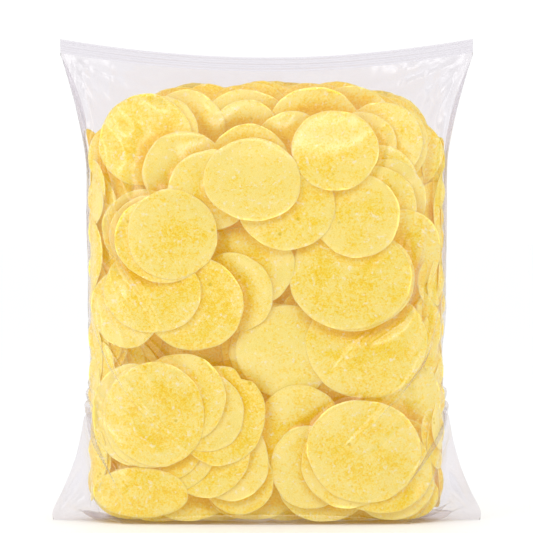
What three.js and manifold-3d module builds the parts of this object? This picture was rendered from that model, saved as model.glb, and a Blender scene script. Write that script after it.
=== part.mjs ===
// A clear pillow bag packed with small round papads, standing on its flattened bottom.
// Millimetres, +Z up, the front face towards -Y, the origin on the floor under the bag's middle.
//
// The bag and what fills it are one closed solid. Its core is a loft: a body with a flat front and
// back and round sides, a header that narrows to the heat seal pressed across the top, and the two
// thin film ears that lie out along the floor at the bottom corners. The papads that lie against
// the film are fused to the core: on the front as they lie there, on the back in shingled rows,
// and at both sides the rims of the ones that stand edge-on.

import * as THREE from 'three';
import { mergeVertices } from 'three/addons/utils/BufferGeometryUtils.js';
import Module from 'manifold-3d';

const { clamp, degToRad, lerp } = THREE.MathUtils;

// The bag: a film tube 280 mm wide when flat, filled, and sealed at both ends.
const BODY_HALF_WIDTH = 116;
const BODY_HALF_DEPTH = 33;
const BODY_CORNER_POWER = 7;        // a high power keeps the front flat and the sides round
const BODY_ROUND_POWER = 0.38;
const BASE_ROUNDING = 9;            // height over which the base edge rounds into the faces
const BASE_INSET = 4;               // how far that rounding pulls the base in, all round

const HEADER_START = 205;           // above this the two faces close towards the seal
const FLARE_START = 234;            // above this the side edges run out to the seal's full width
const FLARE_REACH = 18;
const FLARE_POWER = 1.3;
const HEADER_CORNER_POWER = 4;      // the section turns from a flat box into a lens
const HEADER_ROUND_POWER = 1;
const HEADER_POWER = 2.7;           // how long the shoulders stay full before they close to the seal

const SEAL_HALF_WIDTH = BODY_HALF_WIDTH + FLARE_REACH;
const SEAL_FOOT = 292;              // lower edge of the seal, at the middle
const SEAL_DEPTH = 9;
const SEAL_RISE = 12;               // how much higher the seal's ends are than its middle
const SEAL_RIDGES = 4;
const SEAL_RIDGE_HEIGHT = 0.4;
const SEAL_WAVE = 2;                // the seal wanders this far front and back
const FILM_HALF_THICKNESS = 0.5;    // two walls of film pressed together, kept thick enough to hold

const EAR_REACH = 24;               // bottom corners: flat film that runs out along the floor
const EAR_HEIGHT = 105;
const EAR_POWER = 2.6;
const EAR_TENT = 9;                 // film tented between the body and the ear
const EAR_TENT_HEIGHT = 30;
const EAR_TENT_OVERLAP = 10;        // the tent starts this far inside the body's side
const EAR_TENT_POWER = 1.4;

const CREASE_DEPTH = 1.4;           // puckers along the floor and in the header
const CREASE_COUNT = 9;
const CREASE_HEIGHT = 16;

const COLUMNS = 20;                 // loft steps from side to side
const ROWS = 22;                    // loft steps from the floor to the seal

// The papads.
const PAPAD_THICKNESS = 1.3;
const PAPAD_SINK = 5;               // how deep a papad's plate goes into the core
const PAPAD_SIDES = 16;
const PAPAD_RINGS = [0.55, 1];
const PAPAD_TIP = 0.8;              // its lower edge leans out this far and its upper edge tucks in
const PAPAD_UNEVENNESS = 0.03;
const PAPAD_BEND_MAX = 5;           // it bends with the bag's face by this much at most
const REST_SHARE = 0.8;             // it comes to rest when this share of it clears what is below
const HEAP_CELL = 5;                // spacing of the grid that keeps the heap's height
const FLOOR_MARGIN = 3;             // no papad reaches lower than this
const SIDE_MARGIN = 0.97;           // share of the half width that a papad on a face may reach

// Papads on the front, each [x, z, half width, half height], the hindmost first.
const FRONT_PAPADS = [
  [-51, 257, 25, 23], [-14, 252, 28, 26], [31, 250, 31, 29], [75, 247, 25, 27],
  [-78, 246, 30, 28], [-52, 227, 27, 26], [60, 240, 24, 23], [77, 210, 25, 26],
  [-80, 189, 25, 26], [-35, 215, 26, 26], [59, 198, 27, 26], [-14, 166, 31, 26],
  [13, 204, 31, 27], [44, 240, 28, 25], [-9, 222, 31, 26], [-61, 187, 28, 29],
  [-46, 142, 32, 29], [-73, 150, 31, 27], [3, 113, 31, 29], [13, 111, 33, 29],
  [64, 116, 39, 35], [54, 159, 40, 33], [21, 60, 28, 29], [78, 72, 26, 29],
  [75, 35, 31, 28], [53, 39, 30, 28], [-20, 36, 27, 26], [-80, 24, 29, 18],
  [-30, 70, 30, 31], [-39, 82, 26, 26], [63, 48, 37, 33], [-71, 71, 32, 34],
];

// Papads on the back, in rows whose places and sizes wander.
const BACK_ROWS = 5;
const BACK_COLUMNS = 4;
const BACK_TOP = 250;
const BACK_BOTTOM = 32;
const BACK_SPREAD = 84;
const BACK_WANDER = 9;
const PAPAD_RADIUS_MIN = 27;
const PAPAD_RADIUS_MAX = 35;

// Papads that stand edge-on at the sides, in files from the front to the back.
const RIM_FILES = [-20, -7, 6, 19];
const RIM_STEPS = 5;
const RIM_BOTTOM = 30;
const RIM_TOP = 225;
const RIM_STAND_OUT = 1.4;
const RIM_LEAN = degToRad(7);
const RIM_THICKNESS = 1.6;
const RIM_SIDES = 16;

const PAPAD_YELLOW = 0xf6d86f;

const wasm = await Module();
wasm.setup();

/** A repeatable draw between low and high, from a fixed seed. */
function seededDraw(seed) {
  let state = seed;
  return (low, high) => {
    state = (state * 1664525 + 1013904223) % 4294967296;
    return lerp(low, high, state / 4294967296);
  };
}

/** Half the width of the filled body: round at the floor, running out to the seal above. */
function bodyHalfWidth(z) {
  const rounding = 1 - Math.min(z / BASE_ROUNDING, 1);
  const flare = clamp((z - FLARE_START) / (SEAL_FOOT + SEAL_RISE - FLARE_START), 0, 1);
  return BODY_HALF_WIDTH - BASE_INSET * rounding ** 2 + FLARE_REACH * flare ** FLARE_POWER;
}

/** Half the width out to the film's edge: the body, and below it the ear. */
function filmHalfWidth(z) {
  const ear = 1 - Math.min(z / EAR_HEIGHT, 1);
  return bodyHalfWidth(z) + (EAR_REACH + BASE_INSET) * ear ** EAR_POWER;
}

/** Height of the seal's lower edge at a place across the bag, from -1 to 1. */
function sealFoot(across) {
  return SEAL_FOOT + SEAL_RISE * across ** 2;
}

/** How far a point has come from the body (0) to the seal (1). */
function headerProgress(across, z) {
  return clamp((z - HEADER_START) / (sealFoot(across) - HEADER_START), 0, 1);
}

/** Half the bag's thickness, front to back, at a point of its face, before any crease. */
function smoothHalfThickness(x, z) {
  const across = x / filmHalfWidth(z);
  const header = headerProgress(across, z);
  const cornerPower = lerp(BODY_CORNER_POWER, HEADER_CORNER_POWER, header);
  const roundPower = lerp(BODY_ROUND_POWER, HEADER_ROUND_POWER, header);
  const rounding = 1 - Math.min(z / BASE_ROUNDING, 1);
  const depth = (BODY_HALF_DEPTH - BASE_INSET * rounding ** 2) * (1 - header ** HEADER_POWER);
  const within = Math.max(1 - Math.abs(x / bodyHalfWidth(z)) ** cornerPower, 0);
  const body = depth * within ** roundPower;

  const tentWidth = filmHalfWidth(z) - bodyHalfWidth(z) + EAR_TENT_OVERLAP;
  const toEdge = clamp((filmHalfWidth(z) - Math.abs(x)) / tentWidth, 0, 1);
  const tent = EAR_TENT * Math.exp(-z / EAR_TENT_HEIGHT) * toEdge ** EAR_TENT_POWER;

  return Math.max(Math.hypot(body, tent), FILM_HALF_THICKNESS);
}

/** Half the film's thickness with its creases: puckers along the floor and soft folds above. */
function halfThickness(x, z) {
  const across = x / filmHalfWidth(z);
  const header = headerProgress(across, z);
  const puckers = Math.exp(-z / CREASE_HEIGHT) + 3 * header * (1 - header);
  const smooth = smoothHalfThickness(x, z);
  const crease = CREASE_DEPTH * puckers * Math.sin(across * CREASE_COUNT * Math.PI);
  return Math.max(smooth + crease * clamp(smooth / 30, 0, 1), FILM_HALF_THICKNESS);
}

/** How far the film's middle plane wanders front and back: only in the header and the seal. */
function middlePlane(x, z) {
  const header = headerProgress(x / filmHalfWidth(z), z);
  return SEAL_WAVE * header ** 3 * Math.sin((x / SEAL_HALF_WIDTH) * 1.6 * Math.PI + 0.6);
}

/** A manifold solid from a list of corner triples and a list of triangles. */
function solidFrom(positions, triangles) {
  const geometry = new THREE.BufferGeometry();
  geometry.setAttribute('position', new THREE.Float32BufferAttribute(positions, 3));
  geometry.setIndex(triangles);
  return solidOf(geometry);
}

/** A manifold solid from a closed three.js geometry. */
function solidOf(geometry) {
  geometry.deleteAttribute('normal');
  geometry.deleteAttribute('uv');
  const merged = mergeVertices(geometry, 1e-4);
  return new wasm.Manifold(new wasm.Mesh({
    numProp: 3,
    vertProperties: new Float32Array(merged.getAttribute('position').array),
    triVerts: new Uint32Array(merged.getIndex().array),
  }));
}

/** Heights of the loft's rows at one place across: the bag up to the seal, then the seal. */
function rowHeights(across) {
  const heights = [];
  for (let row = 0; row <= ROWS; row++) {
    const share = row / ROWS;
    const eased = lerp(share, (1 - Math.cos(share * Math.PI)) / 2, 0.6);
    heights.push({ z: eased * sealFoot(across), ridge: 0 });
  }
  for (let step = 1; step <= 2 * SEAL_RIDGES; step++) {
    const z = sealFoot(across) + (SEAL_DEPTH * step) / (2 * SEAL_RIDGES);
    heights.push({ z, ridge: step % 2 ? SEAL_RIDGE_HEIGHT : 0 });
  }
  return heights;
}

/** The core: rings of points round the bag, front left to right and back right to left. */
function bagCore() {
  const positions = [];
  const triangles = [];
  const rings = ROWS + 2 * SEAL_RIDGES + 1;
  const perRing = 2 * (COLUMNS + 1);
  const columns = [];
  for (let column = 0; column <= COLUMNS; column++) {
    const across = Math.sin((Math.PI / 2) * ((2 * column) / COLUMNS - 1));
    columns.push({ across, heights: rowHeights(across) });
  }
  for (let ring = 0; ring < rings; ring++) {
    for (const side of [-1, 1]) {
      for (let step = 0; step <= COLUMNS; step++) {
        const { across, heights } = columns[side < 0 ? step : COLUMNS - step];
        const { z, ridge } = heights[ring];
        const x = across * filmHalfWidth(z);
        positions.push(x, middlePlane(x, z) + side * (halfThickness(x, z) + ridge), z);
      }
    }
  }
  for (let ring = 0; ring < rings - 1; ring++) {
    for (let step = 0; step < perRing; step++) {
      const here = ring * perRing + step;
      const next = ring * perRing + ((step + 1) % perRing);
      triangles.push(here, next, next + perRing, here, next + perRing, here + perRing);
    }
  }
  const top = (rings - 1) * perRing;
  for (let step = 0; step < COLUMNS; step++) {
    const behind = perRing - 1 - step;
    triangles.push(step, behind, step + 1, step + 1, behind, behind - 1);
    triangles.push(top + step, top + step + 1, top + behind);
    triangles.push(top + step + 1, top + behind - 1, top + behind);
  }
  return solidFrom(positions, triangles);
}

/** The height that the heap of papads on one face has reached, kept on a grid over that face. */
class HeapHeight {
  constructor() {
    this.cells = new Map();
  }

  /** Cells under a papad, each with its place on the papad (right and up, from -1 to 1). */
  under([centreX, centreZ, halfWidth, halfHeight]) {
    const found = [];
    const near = (centre, half) => Math.ceil((centre - half) / HEAP_CELL);
    const far = (centre, half) => Math.floor((centre + half) / HEAP_CELL);
    for (let column = near(centreX, halfWidth); column <= far(centreX, halfWidth); column++) {
      for (let row = near(centreZ, halfHeight); row <= far(centreZ, halfHeight); row++) {
        const right = (column * HEAP_CELL - centreX) / halfWidth;
        const up = (row * HEAP_CELL - centreZ) / halfHeight;
        if (right ** 2 + up ** 2 > 1) continue;
        const key = `${column},${row}`;
        const height = this.cells.get(key) ?? smoothHalfThickness(column * HEAP_CELL, row * HEAP_CELL);
        found.push({ key, right, up, height });
      }
    }
    return found;
  }

  /** Lay a papad on the heap: its shape, lifted until the given share of it clears the heap. */
  lay(papad, shape) {
    const cells = this.under(papad);
    const gaps = cells.map((cell) => cell.height - shape(cell.right, cell.up)).sort((a, b) => a - b);
    const lift = gaps[Math.floor(REST_SHARE * (gaps.length - 1))] + PAPAD_THICKNESS;
    for (const { key, right, up, height } of cells) {
      this.cells.set(key, Math.max(height, shape(right, up) + lift));
    }
    return lift;
  }
}

/** The gentle bend that a papad takes from the face it lies on: a bowl with its own lean. */
function bentShape([centreX, centreZ, halfWidth, halfHeight]) {
  const face = (right, up) => {
    const z = Math.max(centreZ + halfHeight * up, FLOOR_MARGIN);
    const reach = SIDE_MARGIN * bodyHalfWidth(z);
    return smoothHalfThickness(clamp(centreX + halfWidth * right, -reach, reach), z);
  };
  const middle = face(0, 0);
  const leanRight = (face(0.7, 0) - face(-0.7, 0)) / 1.4;
  const leanUp = (face(0, 0.7) - face(0, -0.7)) / 1.4 - PAPAD_TIP;
  const bendRight = Math.max((face(0.7, 0) + face(-0.7, 0) - 2 * middle) / 0.98, -PAPAD_BEND_MAX);
  const bendUp = Math.max((face(0, 0.7) + face(0, -0.7) - 2 * middle) / 0.98, -PAPAD_BEND_MAX);
  return (right, up) => middle + leanRight * right + leanUp * up
    + bendRight * right ** 2 + bendUp * up ** 2;
}

/** A papad laid on one face of the bag, as a plate that reaches down into the core. */
function facePapad(side, papad, heap, draw) {
  const [centreX, centreZ, halfWidth, halfHeight] = papad;
  const phases = [draw(0, 2 * Math.PI), draw(0, 2 * Math.PI)];
  const shape = bentShape(papad);
  const lift = heap.lay(papad, shape);
  const positions = [];
  const triangles = [];

  const pushPair = (radius, angle) => {
    const uneven = 1 + PAPAD_UNEVENNESS * (Math.sin(2 * angle + phases[0])
      + 0.5 * Math.sin(5 * angle + phases[1]));
    const right = radius * uneven * Math.cos(angle);
    const up = radius * uneven * Math.sin(angle);
    const z = Math.max(centreZ + halfHeight * up, FLOOR_MARGIN);
    const reach = SIDE_MARGIN * bodyHalfWidth(z);
    const x = clamp(centreX + halfWidth * right, -reach, reach);
    const face = halfThickness(x, z);
    const inner = face - Math.min(PAPAD_SINK, 0.8 * face);
    const outer = Math.max(shape(right, up) + lift, inner + 0.2);
    positions.push(x, middlePlane(x, z) + side * outer, z);
    positions.push(x, middlePlane(x, z) + side * inner, z);
  };

  pushPair(0, 0);
  for (const ring of PAPAD_RINGS) {
    for (let step = 0; step < PAPAD_SIDES; step++) pushPair(ring, (step / PAPAD_SIDES) * 2 * Math.PI);
  }
  // Outer corners have even numbers and inner ones odd, so both faces are split alike.
  const first = (ring) => 2 * (1 + ring * PAPAD_SIDES);
  for (let step = 0; step < PAPAD_SIDES; step++) {
    const next = (step + 1) % PAPAD_SIDES;
    const [a, b] = [first(0) + 2 * step, first(0) + 2 * next];
    const [c, d] = [first(1) + 2 * step, first(1) + 2 * next];
    triangles.push(0, a, b, a, c, d, a, d, b);
    triangles.push(1, b + 1, a + 1, a + 1, d + 1, c + 1, a + 1, b + 1, d + 1);
    triangles.push(c, c + 1, d + 1, c, d + 1, d);
  }
  if (side > 0) triangles.reverse();
  return solidFrom(positions, triangles);
}

/** The papads of the front face. */
function frontPapads() {
  const draw = seededDraw(11);
  const heap = new HeapHeight();
  return FRONT_PAPADS.map((papad) => facePapad(-1, papad, heap, draw));
}

/** The papads of the back face: rows of overlapping ones from the bottom to the top. */
function backPapads() {
  const draw = seededDraw(29);
  const heap = new HeapHeight();
  const papads = [];
  for (let row = 0; row < BACK_ROWS; row++) {
    const height = lerp(BACK_BOTTOM, BACK_TOP, row / (BACK_ROWS - 1));
    for (let column = 0; column < BACK_COLUMNS; column++) {
      const offset = (row % 2 ? 0.5 : -0.5) * (BACK_SPREAD / BACK_COLUMNS);
      const across = lerp(-BACK_SPREAD, BACK_SPREAD, column / (BACK_COLUMNS - 1)) + offset;
      const radius = draw(PAPAD_RADIUS_MIN, PAPAD_RADIUS_MAX);
      const place = [
        clamp(across + draw(-BACK_WANDER, BACK_WANDER), -BACK_SPREAD, BACK_SPREAD),
        height + draw(-BACK_WANDER, BACK_WANDER),
        radius,
        radius * draw(0.85, 1),
      ];
      papads.push(facePapad(1, place, heap, draw));
    }
  }
  return papads;
}

/** Papads that stand edge-on at the sides: only a bow of each rim comes out of the core. */
function sideRims() {
  const draw = seededDraw(47);
  const rims = [];
  for (const side of [-1, 1]) {
    for (const [file, depth] of RIM_FILES.entries()) {
      for (let step = 0; step < RIM_STEPS; step++) {
        const radius = draw(PAPAD_RADIUS_MIN, PAPAD_RADIUS_MAX);
        const wanted = lerp(RIM_BOTTOM, RIM_TOP, (step + (file % 2) / 2) / RIM_STEPS) + draw(-4, 4);
        const z = Math.max(wanted, radius + FLOOR_MARGIN);
        const y = depth + draw(-3, 3);
        const share = Math.abs(y / BODY_HALF_DEPTH) ** (1 / BODY_ROUND_POWER);
        const edge = BODY_HALF_WIDTH * (1 - share) ** (1 / BODY_CORNER_POWER);
        const disc = new THREE.CylinderGeometry(radius, radius, RIM_THICKNESS, RIM_SIDES);
        disc.rotateX(draw(-RIM_LEAN, RIM_LEAN));
        disc.rotateZ(draw(-RIM_LEAN, RIM_LEAN));
        disc.translate(side * (edge + RIM_STAND_OUT - radius), y, z);
        rims.push(solidOf(disc));
      }
    }
  }
  return rims;
}

/** The finished solid as a three.js geometry, centred over the origin and standing on the floor. */
function filledBagGeometry() {
  const pieces = [...frontPapads(), ...backPapads(), ...sideRims()];
  const solid = pieces.reduce((joined, piece) => joined.add(piece), bagCore());
  const mesh = solid.getMesh();
  const geometry = new THREE.BufferGeometry();
  geometry.setAttribute('position', new THREE.BufferAttribute(new Float32Array(mesh.vertProperties), 3));
  geometry.setIndex(new THREE.BufferAttribute(new Uint32Array(mesh.triVerts), 1));
  geometry.computeBoundingBox();
  const centre = geometry.boundingBox.getCenter(new THREE.Vector3());
  geometry.translate(-centre.x, -centre.y, -geometry.boundingBox.min.z);
  geometry.computeVertexNormals();
  return geometry;
}

const filledBag = new THREE.Mesh(
  filledBagGeometry(),
  new THREE.MeshStandardMaterial({ color: PAPAD_YELLOW, roughness: 0.45, metalness: 0 }),
);
filledBag.name = 'bag';

const pack = new THREE.Group();
pack.add(filledBag);

export default pack;
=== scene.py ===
"""A clear pillow bag packed with small round papads, standing on its flattened bottom.

The papads are laid one on another from the back film to the front, each resting on the heap that
is there before it. The ones that show on the front lie where they lie on the real pack. The film
is then drawn over the heap: a flat tube of film, sealed along the top and the bottom, that can
crease but hardly stretch. Lengths are millimetres up to the moment a mesh is made.
"""

from __future__ import annotations

import logging
import math
from dataclasses import dataclass, field

import bpy
import numpy as np
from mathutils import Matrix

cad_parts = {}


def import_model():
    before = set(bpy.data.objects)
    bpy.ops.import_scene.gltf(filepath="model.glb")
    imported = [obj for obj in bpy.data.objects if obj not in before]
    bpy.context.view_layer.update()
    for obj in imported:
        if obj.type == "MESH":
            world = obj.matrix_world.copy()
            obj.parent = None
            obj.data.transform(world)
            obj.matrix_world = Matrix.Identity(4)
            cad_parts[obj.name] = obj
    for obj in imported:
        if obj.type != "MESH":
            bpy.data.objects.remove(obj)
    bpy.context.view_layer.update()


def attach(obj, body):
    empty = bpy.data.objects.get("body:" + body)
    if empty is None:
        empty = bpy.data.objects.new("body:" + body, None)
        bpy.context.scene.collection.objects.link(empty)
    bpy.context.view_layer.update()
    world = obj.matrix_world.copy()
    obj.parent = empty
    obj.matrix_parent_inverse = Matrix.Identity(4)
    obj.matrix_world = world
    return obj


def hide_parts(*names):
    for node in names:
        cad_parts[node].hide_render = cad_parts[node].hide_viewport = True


log = logging.getLogger("papad_pack")

MM = 0.001
SEED = 7

Array = np.ndarray
Socket = bpy.types.NodeSocket


def from_hex(code: str) -> tuple[float, float, float, float]:
    """Turn an sRGB hex colour into linear RGBA.

    Args:
        code: six hex digits, such as "f6d86f".

    Returns:
        Red, green and blue as scene-linear values, and an alpha of 1.
    """
    channels = [int(code[i:i + 2], 16) / 255 for i in (0, 2, 4)]
    linear = [c / 12.92 if c <= 0.04045 else ((c + 0.055) / 1.055) ** 2.4 for c in channels]
    return (*linear, 1.0)


def smoothstep(low: float, high: float, value: Array) -> Array:
    """Rise from 0 at low to 1 at high along the curve 3t^2 - 2t^3."""
    t = np.clip((value - low) / (high - low), 0.0, 1.0)
    return t * t * (3.0 - 2.0 * t)


def read_grid(grid: Array, first: tuple[float, float], step: tuple[float, float],
              row: Array, column: Array) -> Array:
    """Read a grid between its points, by two-way linear interpolation.

    Args:
        grid: values by row and column.
        first: the row and column coordinate of the grid's first value.
        step: distance between rows and between columns.
        row: row coordinate of each place.
        column: column coordinate of each place.

    Returns:
        The value at each place; places outside read the grid's edge.
    """
    r = np.clip((row - first[0]) / step[0], 0.0, grid.shape[0] - 1.001)
    c = np.clip((column - first[1]) / step[1], 0.0, grid.shape[1] - 1.001)
    r0, c0 = r.astype(int), c.astype(int)
    fr, fc = r - r0, c - c0
    low = grid[r0, c0] * (1 - fc) + grid[r0, c0 + 1] * fc
    high = grid[r0 + 1, c0] * (1 - fc) + grid[r0 + 1, c0 + 1] * fc
    return low * (1 - fr) + high * fr


def soften(grid: Array, cells: float) -> Array:
    """Blur a grid by a bell curve of the given width in cells, as many small averages."""
    for _ in range(round(2 * cells ** 2)):
        grid = np.pad(grid, 1, mode="edge")
        grid = 0.25 * (grid[:-2] + 2.0 * grid[1:-1] + grid[2:])
        grid = 0.25 * (grid[:, :-2] + 2.0 * grid[:, 1:-1] + grid[:, 2:])
    return grid


@dataclass(frozen=True)
class BagForm:
    """The filled bag's outline and thickness, as the solid of the frame has them."""

    body_half_width: float = 117.0
    body_half_depth: float = 34.0
    corner_power: float = 7.0
    round_power: float = 0.38
    base_rounding: float = 9.0
    base_inset: float = 4.0
    header_start: float = 205.0
    flare_start: float = 234.0
    flare_reach: float = 17.0
    flare_power: float = 1.3
    header_corner_power: float = 3.0
    header_round_power: float = 1.0
    header_power: float = 2.7
    seal_foot: float = 292.0
    seal_depth: float = 9.0
    seal_rise: float = 12.0
    seal_wave: float = 2.0
    wave_turns: float = 1.6
    wave_phase: float = 0.6
    ear_reach: float = 23.0
    ear_height: float = 105.0
    ear_power: float = 2.6

    @property
    def seal_half_width(self) -> float:
        """Half the width of the seal."""
        return self.body_half_width + self.flare_reach

    def body_width(self, z: Array) -> Array:
        """Half the body's width at height z: rounded at the floor, flaring out to the seal."""
        rounding = 1.0 - np.minimum(z / self.base_rounding, 1.0)
        flare_end = self.seal_foot + self.seal_rise
        flare = np.clip((z - self.flare_start) / (flare_end - self.flare_start), 0.0, 1.0)
        body = self.body_half_width - self.base_inset * rounding ** 2
        return body + self.flare_reach * flare ** self.flare_power

    def film_width(self, z: Array) -> Array:
        """Half the width at height z out to the film's edge: the body and the flat ear."""
        ear = 1.0 - np.minimum(z / self.ear_height, 1.0)
        return self.body_width(z) + (self.ear_reach + self.base_inset) * ear ** self.ear_power

    def seal_line(self, across: Array) -> Array:
        """Height of the seal's lower edge, a parabola in the place across (-1 to 1)."""
        return self.seal_foot + self.seal_rise * across ** 2

    def middle_plane(self, x: Array, z: Array) -> Array:
        """How far the film's middle plane wanders front and back: a wave that grows to the seal."""
        header = np.clip((z - self.header_start) / (self.seal_foot - self.header_start), 0.0, 1.0)
        place = self.wave_turns * math.pi * x / self.seal_half_width
        return self.seal_wave * header ** 3 * np.sin(place + self.wave_phase)

    def half_thickness(self, x: Array, z: Array) -> Array:
        """Half the bag's thickness at a point of its face.

        A superellipse section, depth * (1 - |x/width|^p)^q. Towards the seal the depth falls to
        nothing and the section turns from a flat box into a lens.
        """
        across = x / self.film_width(z)
        header = np.clip((z - self.header_start) / (self.seal_line(across) - self.header_start), 0.0, 1.0)
        corner = self.corner_power + (self.header_corner_power - self.corner_power) * header
        rounded = self.round_power + (self.header_round_power - self.round_power) * header
        rounding = 1.0 - np.minimum(z / self.base_rounding, 1.0)
        depth = (self.body_half_depth - self.base_inset * rounding ** 2) * (1.0 - header ** self.header_power)
        within = np.maximum(1.0 - np.abs(x / self.body_width(z)) ** corner, 0.0)
        return depth * within ** rounded


@dataclass
class PapadShape:
    """One papad's outline, place and bend, as the numbers that its surface is worked out from.

    Attributes:
        x: place of its middle across the bag, or its depth where it stands against a side.
        z: height of its middle.
        half_width: half its width.
        half_height: half its height.
        wobble: phases of the waves in its rim.
        chance_bend: its own bend along and across it, and as a twist, before it is laid.
        ripple: lobes, height and phase of the curl of its rim, and the height of its swells.
        tone: how pale it is, 0 to 1.
        notch: angle and depth of a torn place in its rim.
        bend: its whole bend once it is laid, in the order of chance_bend.
        lean: how much further out its right edge and its top edge lie than its middle.
        lift: how far forward its middle lies, or how far in where it stands against a side.
        turn: how far it is turned in its own plane, in radians.
    """

    x: float
    z: float
    half_width: float
    half_height: float
    wobble: tuple[float, float, float]
    chance_bend: tuple[float, float, float]
    ripple: tuple[float, float, float, float]
    tone: float
    notch: tuple[float, float] | None = None
    bend: tuple[float, float, float] = (0.0, 0.0, 0.0)
    lean: tuple[float, float] = (0.0, 0.0)
    lift: float = 0.0
    turn: float = 0.0

    def outline(self, angle: Array) -> Array:
        """Radius of the rim at an angle, as a share: 1 and four waves, less any notch."""
        first, second, third = self.wobble
        rim = 1.0 + 0.018 * np.sin(2 * angle + first) + 0.013 * np.sin(3 * angle + second)
        rim = rim + 0.008 * np.sin(6 * angle + third) + 0.004 * np.sin(13 * angle + first + second)
        if self.notch is not None:
            at, depth = self.notch
            away = np.angle(np.exp(1j * (angle - at)))
            rim = rim - depth * np.exp(-((away / 0.16) ** 2))
        return rim

    def own_bend(self, right: Array, up: Array) -> Array:
        """Height of the papad's own bend over its flat plane, in millimetres.

        A bowl or saddle, a*right^2 + b*up^2 + c*right*up, and a ripple that grows towards the
        rim as the cube of the radius.
        """
        along, across, twist = self.bend
        bowl = along * (right ** 2 - 0.25) + across * (up ** 2 - 0.25) + twist * right * up
        lobes, height, turn, swell = self.ripple
        radius = np.sqrt(right ** 2 + up ** 2)
        angle = np.arctan2(up, right)
        curl = height * radius ** 3 * np.sin(lobes * angle + turn)
        undulation = swell * np.sin(6.0 * right + turn) * np.sin(5.0 * up + 2.0 * turn)
        return bowl + curl + undulation

    def surface(self, right: Array, up: Array) -> Array:
        """Height of the papad's underside over the bag's middle plane, towards the front."""
        return self.lift + self.lean[0] * right + self.lean[1] * up + self.own_bend(right, up)


@dataclass
class PapadMaker:
    """Draws the chance part of a papad: how uneven, bent and dark it is."""

    rng: np.random.Generator
    most_bend: float = 0.45
    lobes: tuple[int, int] = (2, 5)
    curl_height: tuple[float, float] = (0.1, 0.5)
    swell_height: tuple[float, float] = (0.04, 0.12)

    def make(self, x: float, z: float, half_width: float, half_height: float,
             notch: tuple[float, float] | None = None) -> PapadShape:
        """Make one papad of the given outline with drawn bends.

        Args:
            x: place across the bag.
            z: height of its middle.
            half_width: half its width.
            half_height: half its height.
            notch: angle and depth of a torn place in its rim.

        Returns:
            The papad, not yet laid on anything.
        """
        draw, full_turn = self.rng.uniform, 2 * math.pi
        return PapadShape(
            x=x, z=z, half_width=half_width, half_height=half_height,
            wobble=tuple(draw(0.0, full_turn, 3)),
            chance_bend=tuple(draw(-self.most_bend, self.most_bend, 3)),
            ripple=(float(self.rng.integers(*self.lobes)), draw(*self.curl_height),
                    draw(0.0, full_turn), draw(*self.swell_height)),
            tone=draw(0.0, 1.0),
            notch=notch,
        )


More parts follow.
